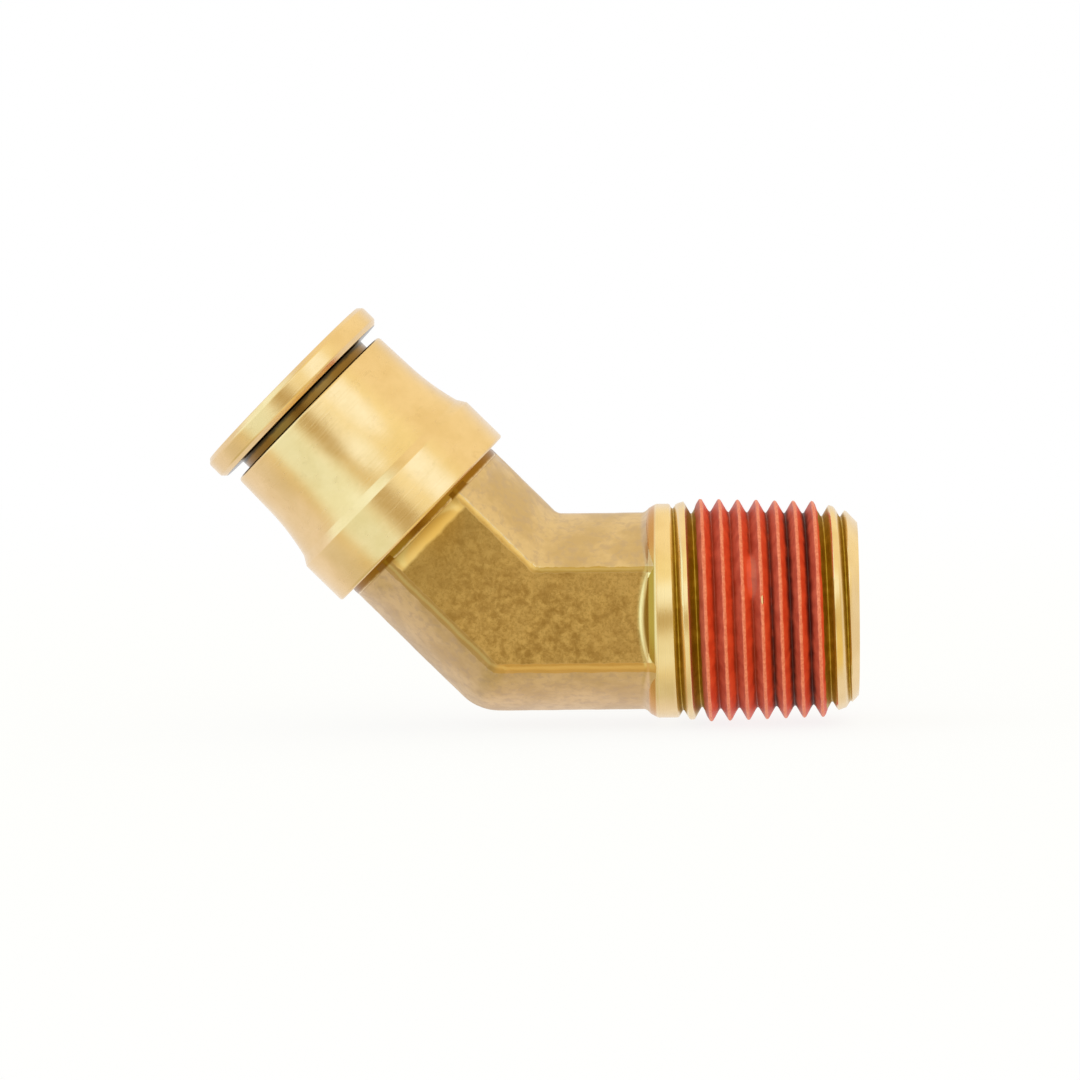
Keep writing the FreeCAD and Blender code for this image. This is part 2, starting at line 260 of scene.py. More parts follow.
def spokes_round(axis, side, columns):
    """Unit vectors round an axis, starting at side."""
    across = np.cross(axis, side)
    angles = np.arange(columns) * TAU / columns
    return np.outer(np.cos(angles), side) + np.outer(np.sin(angles), across)


def turned(name, profile, axis, side):
    """Ring-shaped solid turned from a closed profile about an axis through the crossing."""
    spokes = spokes_round(axis, side, TURNED_COLUMNS)
    outline = rounded(profile)
    points = [CROSSING + axis * p.x + spokes * p.y for p in outline]
    return add_piece(name, np.concatenate(points), ring_faces(len(outline), TURNED_COLUMNS))


def bore(name, profile, axis, side):
    """Closed cutter turned from an (along, radius) profile that starts and ends on the axis."""
    columns = BORE_COLUMNS
    spokes = spokes_round(axis, side, columns)
    points = [CROSSING + axis * profile[0][0]]
    for along, radius in profile[1:-1]:
        points.extend(CROSSING + axis * along + spokes * radius)
    points.append(CROSSING + axis * profile[-1][0])
    rings = len(profile) - 2
    faces = [tuple(i + 1 for i in face) for face in ring_faces(rings, columns, closed=False)]
    last = (rings - 1) * columns + 1
    for k in range(columns):
        m = (k + 1) % columns
        faces.append((0, 1 + m, 1 + k))
        faces.append((len(points) - 1, last + k, last + m))
    return add_piece(name, points, faces)


def boolean_cut(obj, cutters):
    """Cuts closed meshes out of obj, and removes them."""
    for cutter in cutters:
        cut = obj.modifiers.new("bore", "BOOLEAN")
        cut.operation = "DIFFERENCE"
        cut.solver = "MANIFOLD"
        cut.object = cutter
    graph = bpy.context.evaluated_depsgraph_get()
    mesh = bpy.data.meshes.new_from_object(obj.evaluated_get(graph))
    obj.modifiers.clear()
    obj.data = mesh
    for cutter in cutters:
        bpy.data.objects.remove(cutter)


def wobble(point, size, seed):
    """Smooth noise, about -1 to 1, with features of the given size in millimetres."""
    return noise.noise(Vector(point) / size + Vector((seed, seed * 1.7, seed * 0.3)))


def roughen(obj, layers):
    """Moves points along their normals by noise layers of (size, height, seed)."""
    mesh = obj.data
    for vertex in mesh.vertices:
        place = vertex.co / MM
        lift = sum(wobble(place, size, seed) * height for size, height, seed in layers)
        vertex.co += vertex.normal * (lift * MM)
    mesh.update()


# ---- forged elbow ----------------------------------------------------------------------
def circle_through(a, b, c):
    """Centre and radius of the circle through three points."""
    rows = np.array(((b[0] - a[0], b[1] - a[1]), (c[0] - b[0], c[1] - b[1])))
    sums = ((b[0] ** 2 - a[0] ** 2 + b[1] ** 2 - a[1] ** 2) / 2.0,
            (c[0] ** 2 - b[0] ** 2 + c[1] ** 2 - b[1] ** 2) / 2.0)
    centre = np.linalg.solve(rows, sums)
    return centre, math.dist(centre, a)


def arc_run(centre, radius, first, last, steps):
    """Points of an arc after its first one."""
    angles = [first + (last - first) * k / steps for k in range(1, steps + 1)]
    return [(centre[0] + radius * math.cos(v), centre[1] + radius * math.sin(v))
            for v in angles]


def limb_outline():
    """Section of the limbs as (y, h) points: two wrench flats and four bulged slopes."""
    centre, bulge_r = circle_through((HALF_AF, FLAT_HALF_H), SLOPE_MIDDLE, (0.0, RIDGE_H))
    rim_y = HALF_AF - FLAT_EDGE_R
    rim_h = centre[1] + math.sqrt((bulge_r - FLAT_EDGE_R) ** 2 - (rim_y - centre[0]) ** 2)
    ridge_h = centre[1] + math.sqrt((bulge_r - RIDGE_R) ** 2 - centre[0] ** 2)
    low = math.atan2(rim_h - centre[1], rim_y - centre[0])
    high = math.atan2(ridge_h - centre[1], -centre[0])
    quarter = [(HALF_AF, rim_h * k / 14) for k in range(15)]
    quarter += arc_run((rim_y, rim_h), FLAT_EDGE_R, 0.0, low, 7)
    quarter += arc_run(centre, bulge_r, low, high, 24)
    quarter += arc_run((0.0, ridge_h), RIDGE_R, high, math.pi / 2.0, 9)
    outline = list(quarter)
    outline += [(-y, h) for y, h in reversed(quarter[:-1])]
    outline += [(-y, -h) for y, h in quarter[1:]]
    outline += [(y, -h) for y, h in reversed(quarter[1:-1])]
    return outline


def shoulder_scale(place, y, h):
    """Factor that lifts a point of the section into the fillet of its leg's shoulder."""
    radius = math.hypot(y, h)
    along = np.dot(place - CROSSING, THREAD_AXIS)
    shoulder, fillet = THREAD_SHOULDER, THREAD_FILLET
    if along < shoulder[0][0]:
        along = np.dot(place - CROSSING, TUBE_AXIS)
        shoulder, fillet = TUBE_SHOULDER, TUBE_FILLET
    turned_r = np.interp(along, *shoulder) - SKIN_DEPTH
    lifted = min(float(soft_max(radius, turned_r, fillet)), max(shoulder[1]) - SHOULDER_RIM)
    return max(lifted, radius) / radius


def limb_station(h, t):
    """Point in the bend plane on the line at height h; t runs 0 to 3 past the corner arc."""
    depth = (LIMB_HALF_H - h) / (2.0 * LIMB_HALF_H)
    radius = INNER_R + (CORNER_R - INNER_R) * depth ** 2
    reach = radius * math.tan(BEND / 2.0)
    turn = h * math.tan(BEND / 2.0)
    if t < 1.0:
        along = THREAD_LIMB_END + (turn + reach - THREAD_LIMB_END) * t
        return CROSSING + THREAD_AXIS * along + UP * h
    if t > 2.0:
        along = turn + reach + (TUBE_LIMB_END - turn - reach) * (t - 2.0)
        return CROSSING + TUBE_AXIS * along + TUBE_SIDE * h
    centre = CROSSING + THREAD_AXIS * (turn + reach) + UP * (h + radius)
    angle = -math.pi / 2.0 - BEND * (t - 1.0)
    return centre + radius * np.array((math.cos(angle), 0.0, math.sin(angle)))


def forged_elbow():
    """Both limbs and the bend in one skin, with slightly wavy edges, bored through."""
    outline = limb_outline()
    stations = [start + (end - start) * k / count
                for start, end, count in LIMB_RUNS for k in range(count)]
    stations.append(LIMB_RUNS[-1][1])
    columns = len(outline)
    points = []
    for t in stations:
        for y, h in outline:
            near_edge = math.exp(-((abs(h) - FLAT_HALF_H) / EDGE_WAVE_REACH) ** 2)
            wave = wobble((t * THREAD_LIMB_END, y, h), EDGE_WAVE_SIZE, 3.0)
            shift = EDGE_WAVE * wave * near_edge
            scale = shoulder_scale(limb_station(h, t), y, h)
            place = limb_station((h + shift) * scale, t)
            points.append((place[0], y * scale, place[2]))
    faces = ring_faces(len(stations), columns, closed=False)
    for ring in (0, len(stations) - 1):
        start = ring * columns
        points.append(np.mean(points[start:start + columns], axis=0))
        hub = len(points) - 1
        faces += [(hub, start + k, start + (k + 1) % columns) for k in range(columns)]
    obj = add_piece("forged_elbow", points, faces, SOFT_SHARP)
    roughen(obj, FORGED_SKIN)
    boolean_cut(obj, [bore("flow_bore", FLOW_BORE, THREAD_AXIS, UP),
                      bore("tube_bore", TUBE_BORE, TUBE_AXIS, TUBE_SIDE)])
    shade(obj, SHARP)
    return obj


# ---- thread surface --------------------------------------------------------------------
def soft_min(a, b, blend):
    """Smaller of two values, rounded off where they are within blend of each other."""
    near = np.maximum(blend - np.abs(a - b), 0.0) / blend
    return np.minimum(a, b) - near * near * blend / 4.0


def soft_max(a, b, blend):
    return -soft_min(-a, -b, blend)


def blank_radius(x):
    """Turned blank of the thread leg from the plain band to the bevelled open end."""
    crest = np.minimum(PITCH_R0 + THREAD_HALF - x * TAPER, PIPE_R)
    ramp = np.interp(x + LEG_X, BAND_RAMP, (BAND_R, PIPE_R))
    nose = np.interp(x, NOSE_X, NOSE_R)
    crest = soft_min(crest, ramp, CREST_BLEND)
    return np.where(x > NOSE_X[0], soft_min(crest, nose, CREST_BLEND), crest)


def thread_radius(x, turn):
    """Radius of the bare thread; turn is the angle from the top through the front, in turns."""
    best = None
    phase = (x + GROOVE_PHASE) / PITCH - turn
    for shift in (-1, 0, 1):
        centre = np.round(phase) + shift
        away = np.abs(phase - centre) * PITCH
        behind = -(x - (phase - centre) * PITCH)
        rise = np.interp(behind, VANISH_PLACES, VANISH_RISES)
        shape = soft_max((away - PITCH / 4.0) * SQRT3, -THREAD_HALF, GROOVE_BLEND) + rise
        best = shape if best is None else np.minimum(best, shape)
    surface = PITCH_R0 - x * TAPER + best
    return soft_min(surface, blank_radius(x), GROOVE_BLEND)


def phase_rows(first, last):
    """Sample places over whole pitches, close together at crests and roots."""
    near = [0.0, 0.03, 0.06, 0.09, 0.13, 0.18, 0.29, PITCH / 4.0]
    quarter = near + [PITCH / 2.0 - v for v in reversed(near[:-1])]
    full = quarter + [PITCH - v for v in reversed(quarter[1:-1])]
    rows = []
    start = math.floor((first + GROOVE_PHASE) / PITCH) - 2
    stop = math.ceil((last + GROOVE_PHASE) / PITCH) + 2
    for k in range(start, stop):
        rows.extend(-GROOVE_PHASE + k * PITCH + v for v in full)
    return np.array(rows)


def helical_grid(first, last, columns):
    """Rows of x that follow the thread, held between two end planes, and their turn."""
    turn = np.arange(columns) / columns
    rows = phase_rows(first - PITCH, last)
    rows = rows[(rows > first - PITCH - 0.3) & (rows < last + 0.3)]
    x = rows[:, None] + turn[None, :] * PITCH
    return np.clip(x, first, last), np.broadcast_to(turn, x.shape)


def thread_points(x, radius, turn):
    """Row-frame points; a turn starts at the top and passes the front, which is -Y."""
    angle = turn * TAU
    return np.stack((x, -radius * np.sin(angle), radius * np.cos(angle)), axis=-1)


def plain_rings(profile, columns):
    """Rings of a thread piece from an (along, radius) profile."""
    turn = np.arange(columns) / columns
    return [thread_points(np.full(columns, along - LEG_X), np.full(columns, radius), turn)
            for along, radius in profile]


def set_attribute(obj, name, values):
    """Value per vertex that the material reads."""
    attribute = obj.data.attributes.new(name, "FLOAT", "POINT")
    attribute.data.foreach_set("value", values.astype(np.float32))


def thread_coordinates(obj):
    """x, turn and radius of every vertex of a thread piece, in millimetres."""
    flat = np.empty(len(obj.data.vertices) * 3)
    obj.data.vertices.foreach_get("co", flat)
    place = flat.reshape(-1, 3) / MM
    turn = np.arctan2(-place[:, 1], place[:, 2]) / TAU % 1.0
    return place[:, 0], turn, np.hypot(place[:, 1], place[:, 2])


def thread_shank():
    """Turned end of the thread leg: shoulder, plain band, thread, bevelled mouth and bore."""
    columns = SHANK_COLUMNS
    start = THREAD_START - LEG_X
    x, turn = helical_grid(start, 0.0, columns)
    rings = plain_rings(SHANK_COLLAR, columns)
    rings += list(thread_points(x, thread_radius(x, turn), turn))
    rings += plain_rings(SHANK_MOUTH, columns)
    faces = thread_faces(len(SHANK_COLLAR), len(x), len(SHANK_MOUTH), columns)
    obj = add_piece("thread_shank", np.concatenate(rings), faces)
    place_x, radius = thread_coordinates(obj)[::2]
    depth = np.clip((blank_radius(place_x) - radius) / (2.0 * THREAD_HALF), 0.0, 1.0)
    in_bore = radius < 8.2
    depth[(place_x < start) | (place_x > -0.02) | in_bore] = 0.0
    set_attribute(obj, "depth", depth)
    return obj


# ---- sealant coat ----------------------------------------------------------------------
def coat_edge(base, turn, seed):
    """Edge of the coat: it follows the thread round the front and crosses over at the back."""
    front = (turn - 0.25 + 0.5) % 1.0 - 0.5
    fade = np.clip((0.5 - np.abs(front)) / 0.13, 0.0, 1.0)
    fade = fade * fade * (3.0 - 2.0 * fade)
    wander = np.array([wobble((0.0, 6.0 * math.sin(v * TAU), 6.0 * math.cos(v * TAU)),
                              0.9, seed) for v in turn[0]])
    return base + PITCH * front * fade + 0.10 * wander[None, :]


def spot(x, turn, at_x, at_turn, size_x, size_turn):
    """Soft bump, 1 in the middle, for single features of the coat."""
    around = (turn - at_turn + 0.5) % 1.0 - 0.5
    return np.exp(-((x - at_x) / size_x) ** 2 - (around / size_turn) ** 2)


def sealant_coat():
    """Dried coat over the thread, thicker in the grooves, with uneven ends."""
    columns = COAT_COLUMNS
    first, last = COAT_GRID
    x, turn = helical_grid(first, last, columns)
    phase = (x + GROOVE_PHASE) / PITCH - turn
    away = np.abs(phase - np.round(phase)) * PITCH
    shape = (away - PITCH / 4.0) * SQRT3 + COAT_SHIFT
    shape = soft_max(shape, np.full_like(shape, COAT_ROOT - THREAD_HALF), 0.22)
    shape = soft_min(shape, np.full_like(shape, THREAD_HALF + COAT_CREST), 0.16)
    place = thread_points(x, np.full_like(x, 10.2), turn)
    lumps = np.array([[sum(height * wobble(point, size, seed)
                           for size, height, seed in COAT_LUMPS)
                       for point in row] for row in place])
    filled = sum(spot(x, turn, along - LEG_X, at_turn, FILLED_LENGTH, size_turn)
                 for along, at_turn, size_turn in FILLED)
    filled = np.clip(filled * 1.6, 0.0, 1.0)
    shape = np.maximum(shape, shape + (FILLED_HEIGHT - shape) * filled)
    coat = PITCH_R0 - x * TAPER + shape + lumps
    bare = thread_radius(x, turn)
    # the coat dives under the metal at its ends and at the bare spot
    start = coat_edge(COAT_START, turn, 4.0)
    end = coat_edge(COAT_END, turn, 8.0)
    inside = np.minimum((x - start) / 0.10, (end - x) / 0.10)
    inside = np.clip(inside, -1.0, 1.0) * 0.5 + 0.5
    inside = inside * (1.0 - np.clip(spot(x, turn, *CHIP) * 1.7, 0.0, 1.0))
    lowest = bare - COAT_UNDER
    radius = lowest + (np.maximum(coat, bare + COAT_OVER) - lowest) * inside
    radius = np.minimum(radius, COAT_MAX_R)
    rings = list(thread_points(x, radius, turn))
    core = [(edge + LEG_X, PITCH_R0 - edge * TAPER - THREAD_HALF - 0.25)
            for edge in (last, first)]
    rings += plain_rings(core, columns)
    faces = thread_faces(0, len(x), len(core), columns)
    obj = add_piece("sealant_coat", np.concatenate(rings), faces, SOFT_SHARP)
    place_x, place_turn, radius = thread_coordinates(obj)
    phase = ((place_x + GROOVE_PHASE) / PITCH - place_turn) % 1.0
    level = (radius - (PITCH_R0 - place_x * TAPER)) / (2.0 * THREAD_HALF) + 0.5
    set_attribute(obj, "phase", phase)
    set_attribute(obj, "level", np.clip(level, 0.0, 1.2))
    return obj


# ---- turned parts of the push-in leg ---------------------------------------------------
def tube_boss():
    """Turned spigot of the elbow that the housing is pressed on."""
    return turned("tube_boss", BOSS, TUBE_AXIS, TUBE_SIDE)


def housing_shell():
    """Wide ring and flared sleeve, with a shallow cove between them."""
    cove = []
    for k in range(1, COVE_STEPS):
        t = k / COVE_STEPS
        bow = 4.0 * t * (1.0 - t) * COVE_BOW
        along = COVE_FROM[0] + (COVE_TO[0] - COVE_FROM[0]) * t
        cove.append((along, COVE_FROM[1] + (COVE_TO[1] - COVE_FROM[1]) * t - bow, 0))
    return turned("housing_shell", (*HOUSING_RING, *cove, *HOUSING_SLEEVE), TUBE_AXIS,
                  TUBE_SIDE)


def collar_sleeve():
    """Release collar: shank inside the housing, neck and flange."""
    return turned("collar_sleeve", COLLAR, TUBE_AXIS, TUBE_SIDE)


# ---- node helpers ----------------------------------------------------------------------
# numbers of sockets that share their name with others
MIX_A, MIX_B, MIX_COLOUR = 6, 7, 2
COORD_GENERATED, COORD_OBJECT = 0, 3
ATTRIBUTE_VALUE = 2
VECTOR_VALUE = 1


class Graph:
    """Short-hand for building a node tree. Sockets are given by name or by their number."""

    def __init__(self, tree):
        self.tree = tree
        tree.nodes.clear()

    def add(self, kind, inputs, out=0, **settings):
        node = self.tree.nodes.new("ShaderNode" + kind)
        for key, value in settings.items():
            setattr(node, key, value)
        for key, value in inputs.items():
            if isinstance(value, bpy.types.NodeSocket):
                self.tree.links.new(value, node.inputs[key])
            else:
                node.inputs[key].default_value = value
        return node.outputs[out]

    def math(self, operation, a, b=0.0):
        return self.add("Math", {0: a, 1: b}, operation=operation)

    def mix(self, factor, a, b, blend="MIX"):
        """Colour a where the factor is 0, and b where it is 1."""
        a = a if isinstance(a, bpy.types.NodeSocket) else (*a, 1.0)
        b = b if isinstance(b, bpy.types.NodeSocket) else (*b, 1.0)
        return self.add("Mix", {0: factor, MIX_A: a, MIX_B: b}, out=MIX_COLOUR,
                        data_type="RGBA", blend_type=blend)

    def smooth(self, value, low, high):
        """0 at low, 1 at high and eased between; low may be above high."""
        return self.add("MapRange", {0: value, 1: low, 2: high},
                        interpolation_type="SMOOTHSTEP")

    def linear(self, value, low, high, to_low=0.0, to_high=1.0):
        return self.add("MapRange", {0: value, 1: low, 2: high, 3: to_low, 4: to_high})

    def share(self, value, amount):
        return self.math("MULTIPLY", value, amount)

    def dot(self, a, b):
        return self.add("VectorMath", {0: a, 1: b}, out=VECTOR_VALUE, operation="DOT_PRODUCT")

    def noise(self, vector, size, detail=3.0, roughness=0.5, distortion=0.0):
        """Noise of 0 to 1 with features of the given size in millimetres."""
        return self.add("TexNoise", {"Vector": vector, "Scale": 1.0 / size, "Detail": detail,
                                     "Roughness": roughness, "Distortion": distortion})

    def noise_along(self, value, size, detail=2.0):
        """Noise that changes with one value only, such as rings of tool marks."""
        return self.add("TexNoise", {"W": value, "Scale": 1.0 / size, "Detail": detail},
                        noise_dimensions="1D")

    def attribute(self, name):
        return self.add("Attribute", {}, out=ATTRIBUTE_VALUE, attribute_name=name)

    def place(self):
        """Position on the object in millimetres, in the row frame."""
        local = self.add("TexCoord", {}, out=COORD_OBJECT)
        return self.add("VectorMath", {0: local, "Scale": 1.0 / MM}, operation="SCALE")

    def along(self, place, axis):
        """Length from the crossing point along a leg."""
        shifted = self.add("VectorMath", {0: place, 1: tuple(CROSSING)}, operation="SUBTRACT")
        return self.dot(shifted, tuple(axis))

    def bump(self, height, distance, normal=None):
        inputs = {"Height": height, "Distance": distance * MM, "Strength": 1.0}
        if normal is not None:
            inputs["Normal"] = normal
        return self.add("Bump", inputs)

    def surface(self, colour, roughness, normal, metallic=1.0):
        shader = self.add("BsdfPrincipled", {"Base Color": colour, "Roughness": roughness,
                                             "Normal": normal, "Metallic": metallic})
        self.output("Material", shader)

    def output(self, kind, shader):
        node = self.tree.nodes.new("ShaderNodeOutput" + kind)
        self.tree.links.new(shader, node.inputs["Surface"])


def new_material(name):
    material = bpy.data.materials.new(name)
    material.use_nodes = True
    return material, Graph(material.node_tree)


def give(obj, material):
    obj.data.materials.clear()
    obj.data.materials.append(material)


# ---- materials -------------------------------------------------------------------------
# brass and coat colours, as linear red, green and blue; pairs run from deep to bright
SLOPE_SKIN = (0.60, 0.41, 0.205), (0.72, 0.51, 0.275)
SLOPE_PATCH = (0.54, 0.38, 0.250)
# painted shade that darkens the lower slopes
LOW_SLOPE_SHADE = (0.88, 0.83, 0.74), (0.95, 0.88, 0.78)      # tube limb, thread limb
FLAT_SKIN = (0.41, 0.228, 0.062), (0.62, 0.375, 0.122)
FLAT_CLOUD = (0.60, 0.365, 0.125)
FLAT_GRAIN = (0.30, 0.160, 0.038)
FLAT_TUBE_SIDE = (0.33, 0.190, 0.045)
# bright strip where the flat runs into the turned shoulder, deepening to painted shade towards
# the ring
RAMP_BRIGHT_TO_SHADE = (0.86, 0.58, 0.22), (0.56, 0.34, 0.10)                # strip before the housing
# painted highlight where the flat meets the thread's shoulder
SHOULDER_HIGHLIGHT = (0.92, 0.74, 0.37)
OLIVE_SHADE = (0.42, 0.25, 0.040)                                  # painted shade at the thread's shoulder
# painted shade beside the slopes at the thread's shoulder
BROWN_SHADE = (0.62, 0.31, 0.085)
# painted highlight on the rounded edge between flat and slope, set for the lower and upper edge
LOW_EDGE_SHEEN = (0.48, 0.29, 0.100), (0.66, 0.37, 0.105)          # tube limb, thread limb
HIGH_EDGE_SHEEN = (0.74, 0.46, 0.155), (0.53, 0.32, 0.092)
# painted shade on the forged skin beside the housing ring
HOUSING_RING_SHADE = (0.25, 0.105, 0.008)
TURNED_BRIGHT, TURNED_DEEP = (0.86, 0.62, 0.34), (0.79, 0.55, 0.27)
THREAD_METAL = (0.80, 0.57, 0.28), (0.88, 0.66, 0.36)
THREAD_RESIDUE = (0.42, 0.25, 0.020), (0.56, 0.36, 0.055)
# sealant flanks: the one facing the thread end painted lighter as lit, the other darker as
# painted shade
COAT_SHADED_FLANK = (0.44, 0.060, 0.032), (0.60, 0.110, 0.062)
COAT_LIT_FLANK = (0.70, 0.050, 0.010), (0.86, 0.085, 0.022)
COAT_GROOVE = (0.085, 0.005, 0.001), (0.36, 0.034, 0.008)    # thin coat, thick coat
COAT_CHALK = (0.76, 0.150, 0.070), (0.90, 0.270, 0.145)

# dark bands as (from, full, to, colour) along the leg: painted shade beside the boss's ring,
# and grime with painted shade in the collar's gap
BOSS_RING_SHADE = ((12.25, 12.60, 13.3, (0.30, 0.13, 0.012)),)
# the collar's neck darkens in the gap under the flange, partly grime and partly painted shade;
# the near-black last band is a painted shadow under the flange
COLLAR_GRIME_AND_SHADE = ((27.0, 27.4, 29.62, (0.25, 0.13, 0.03)),
                (29.05, 29.40, 29.62, (0.05, 0.035, 0.02)))


def forged_material():
    """Forged skin on the slopes, a duller pressed face on the flats, a golden painted highlight
    between.
    """
    material, g = new_material("forged_brass")
    place = g.place()
    # height across each limb; in the bend both legs give one, and the lower counts
    up = g.along(place, UP)
    side = g.along(place, TUBE_SIDE)
    signed = g.math("MINIMUM", up, side)
    thread_side = g.smooth(g.math("SUBTRACT", side, up), -0.4, 0.4)
    low = g.smooth(signed, 0.5, -0.5)
    ragged = g.share(g.noise(place, 1.1, 3.0), 0.36)
    height = g.math("ADD", g.math("ABSOLUTE", signed), g.math("SUBTRACT", ragged, 0.18))
    beyond_flat = g.smooth(height, 4.30, 4.46)
    edge_end = g.linear(low, 0.0, 1.0, 4.92, 5.32)
    edge = g.math("MULTIPLY", beyond_flat, g.math("LESS_THAN", height, edge_end))

    cloud = g.noise(place, 5.0, 4.0, 0.6)
    patch = g.noise(place, 0.9, 4.0, 0.65, 0.4)
    grain = g.noise(place, 0.26, 3.0, 0.7)
    slope = g.mix(g.smooth(cloud, 0.38, 0.62), *SLOPE_SKIN)
    slope = g.mix(g.share(g.smooth(patch, 0.46, 0.66), 0.55), slope, SLOPE_PATCH)
    # painted shade: the lower slopes are darkened
    low_shade = g.mix(thread_side, *LOW_SLOPE_SHADE)
    slope = g.mix(low, slope, g.mix(1.0, slope, low_shade, blend="MULTIPLY"))
    flat = g.mix(g.smooth(patch, 0.34, 0.66), *FLAT_SKIN)
    flat = g.mix(g.share(g.smooth(cloud, 0.42, 0.66), 0.7), flat, FLAT_CLOUD)
    flat = g.mix(g.share(g.smooth(grain, 0.44, 0.64), 0.40), flat, FLAT_GRAIN)

    along_tube = g.along(place, TUBE_AXIS)
    flat = g.mix(g.linear(along_tube, 3.0, 10.0, 0.0, 0.45), flat, FLAT_TUBE_SIDE)
    # bright where the flat meets the shoulder, with painted shade towards the housing ring
    ramp_to_shade = g.mix(g.smooth(along_tube, 11.2, 12.3), *RAMP_BRIGHT_TO_SHADE)
    flat = g.mix(g.smooth(g.math("ADD", along_tube, ragged), 10.95, 11.35), flat, ramp_to_shade)
    # the fillet at the thread's shoulder bows round the flat
    bow = g.share(g.math("MULTIPLY", signed, signed), -0.040)
    bowed = g.math("ADD", g.along(place, THREAD_AXIS), bow)
    # painted highlight: a bright line along the fillet at the thread's shoulder
    line = g.math("MULTIPLY", g.smooth(bowed, 11.85, 12.12), g.smooth(bowed, 12.62, 12.32))
    flat = g.mix(line, flat, SHOULDER_HIGHLIGHT)
    # painted shade on the shoulder beyond the bright line
    flat = g.mix(g.smooth(bowed, 12.30, 12.60), flat, OLIVE_SHADE)

    # painted highlight on the rounded edges, in its own colour for the upper and lower edge of
    # each limb
    edge_sheen = g.mix(low, g.mix(thread_side, *HIGH_EDGE_SHEEN), g.mix(thread_side, *LOW_EDGE_SHEEN))
    colour = g.mix(edge, g.mix(beyond_flat, flat, slope), edge_sheen)
    # painted shade: dark brown on the forged skin just before the housing ring
    colour = g.mix(g.smooth(along_tube, 12.18, 12.46), colour, HOUSING_RING_SHADE)
    rough = g.linear(patch, 0.3, 0.7, 0.28, 0.36)
    rough = g.math("ADD", rough, g.linear(beyond_flat, 0.0, 1.0, 0.05, 0.0))
    coarse = g.bump(g.math("ADD", g.share(grain, 0.45), patch), 0.016)
    g.surface(colour, rough, g.bump(g.noise(place, 0.09, 2.0), 0.004, coarse))
    return material


def turned_material(name, grime_and_shade=()):
    """Lathe-turned brass on the push-in leg: rings of tool marks and a thin cloudy tarnish."""
    material, g = new_material(name)
    place = g.place()
    along = g.along(place, TUBE_AXIS)
    cloud = g.noise(place, 4.5, 4.0, 0.6)
    stain = g.noise(place, 1.1, 4.0, 0.7, 0.5)
    marks = g.noise_along(along, 0.16, 3.0)
    bands = g.noise_along(along, 1.1, 2.0)
    colour = g.mix(g.smooth(cloud, 0.30, 0.70), TURNED_DEEP, TURNED_BRIGHT)
    colour = g.mix(g.share(g.smooth(stain, 0.56, 0.74), 0.30), colour,
                   tuple(v * 0.78 for v in TURNED_DEEP))
    colour = g.mix(g.share(g.smooth(bands, 0.35, 0.75), 0.16), colour, TURNED_DEEP)
    # dark bands along the leg: painted shade beside the boss's ring, grime and painted shade in
    # the collar's gap
    for start, full, end, grime_and_shade_colour in grime_and_shade:
        ragged = g.math("ADD", along, g.linear(stain, 0.2, 0.8, -0.10, 0.10))
        amount = g.math("MULTIPLY", g.smooth(ragged, start, full),
                        g.math("LESS_THAN", along, end))
        colour = g.mix(amount, colour, grime_and_shade_colour)
    rough = g.linear(marks, 0.3, 0.7, 0.16, 0.24)
    rough = g.math("ADD", rough, g.linear(stain, 0.4, 0.8, 0.0, 0.07))
    tooling = g.bump(g.math("ADD", marks, g.share(bands, 0.6)), 0.0035)
    g.surface(colour, rough, g.bump(g.noise(place, 0.35, 3.0, 0.6), 0.0022, tooling))
    return material


def thread_material():
    """Cut thread: bright crests, olive-brown residue in the grooves."""
    material, g = new_material("thread_brass")
    place = g.place()
    along = g.along(place, THREAD_AXIS)
    stain = g.noise(place, 0.9, 4.0, 0.65)
    cloud = g.noise(place, 4.0, 3.0)
    marks = g.noise_along(along, 0.14, 2.0)
    metal = g.mix(g.smooth(cloud, 0.3, 0.7), *THREAD_METAL)
    residue = g.mix(g.smooth(stain, 0.35, 0.7), *THREAD_RESIDUE)
    depth = g.math("ADD", g.attribute("depth"), g.linear(stain, 0.2, 0.8, -0.10, 0.10))
    cover = g.smooth(depth, 0.08, 0.34)
    colour = g.mix(cover, metal, residue)
    # painted shade on the shoulder towards the forged limb, browner beside the slopes
    height = g.math("ABSOLUTE", g.along(place, UP))
    shoulder = g.mix(g.smooth(height, 4.8, 6.0), OLIVE_SHADE, BROWN_SHADE)
    colour = g.mix(g.smooth(along, 13.58, 13.36), colour, shoulder)
    rough = g.linear(cover, 0.0, 1.0, 0.24, 0.42)
    rough = g.math("ADD", rough, g.linear(marks, 0.3, 0.7, -0.02, 0.04))
    tooling = g.bump(marks, 0.003)
    g.surface(colour, rough, g.bump(g.noise(place, 0.3, 3.0, 0.6), 0.004, tooling))
    return material


